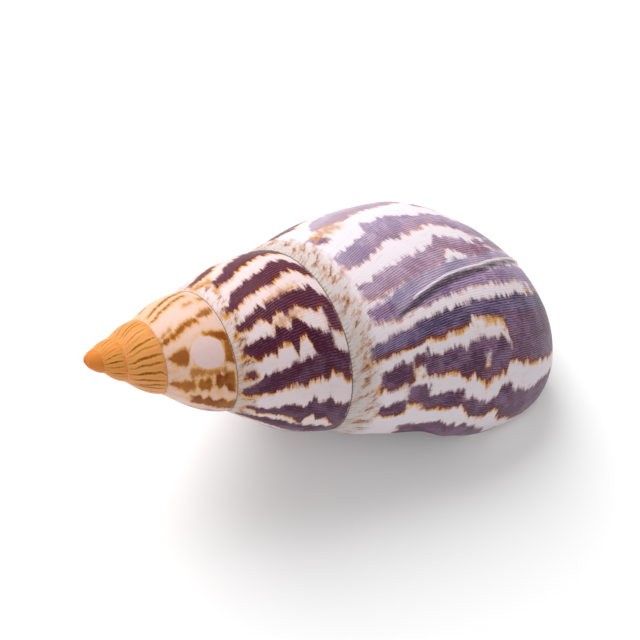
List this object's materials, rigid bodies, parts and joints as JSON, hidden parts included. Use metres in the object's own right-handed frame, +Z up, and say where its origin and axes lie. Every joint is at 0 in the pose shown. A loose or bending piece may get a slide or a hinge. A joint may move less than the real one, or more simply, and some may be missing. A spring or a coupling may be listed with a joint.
{
  "type": "tree snail shell",
  "caption": "Polished right-handed land snail shell with a pointed spire, a large body whorl and an open mouth behind its lip, lying mouth down.",
  "frame": {"origin": "centre of the shell's box, on the level surface that the shell lies on", "axes": "+X from the tip of the spire to the base, +Z up"},
  "size_m": [0.0724, 0.0378, 0.0326],
  "materials": {
    "polished_shell": "polished lime shell: cream ground with purple-brown and violet flames edged in amber, orange spire"
  },
  "bodies": {
    "root": {"shell": "polished_shell"}
  },
  "joints": []
}
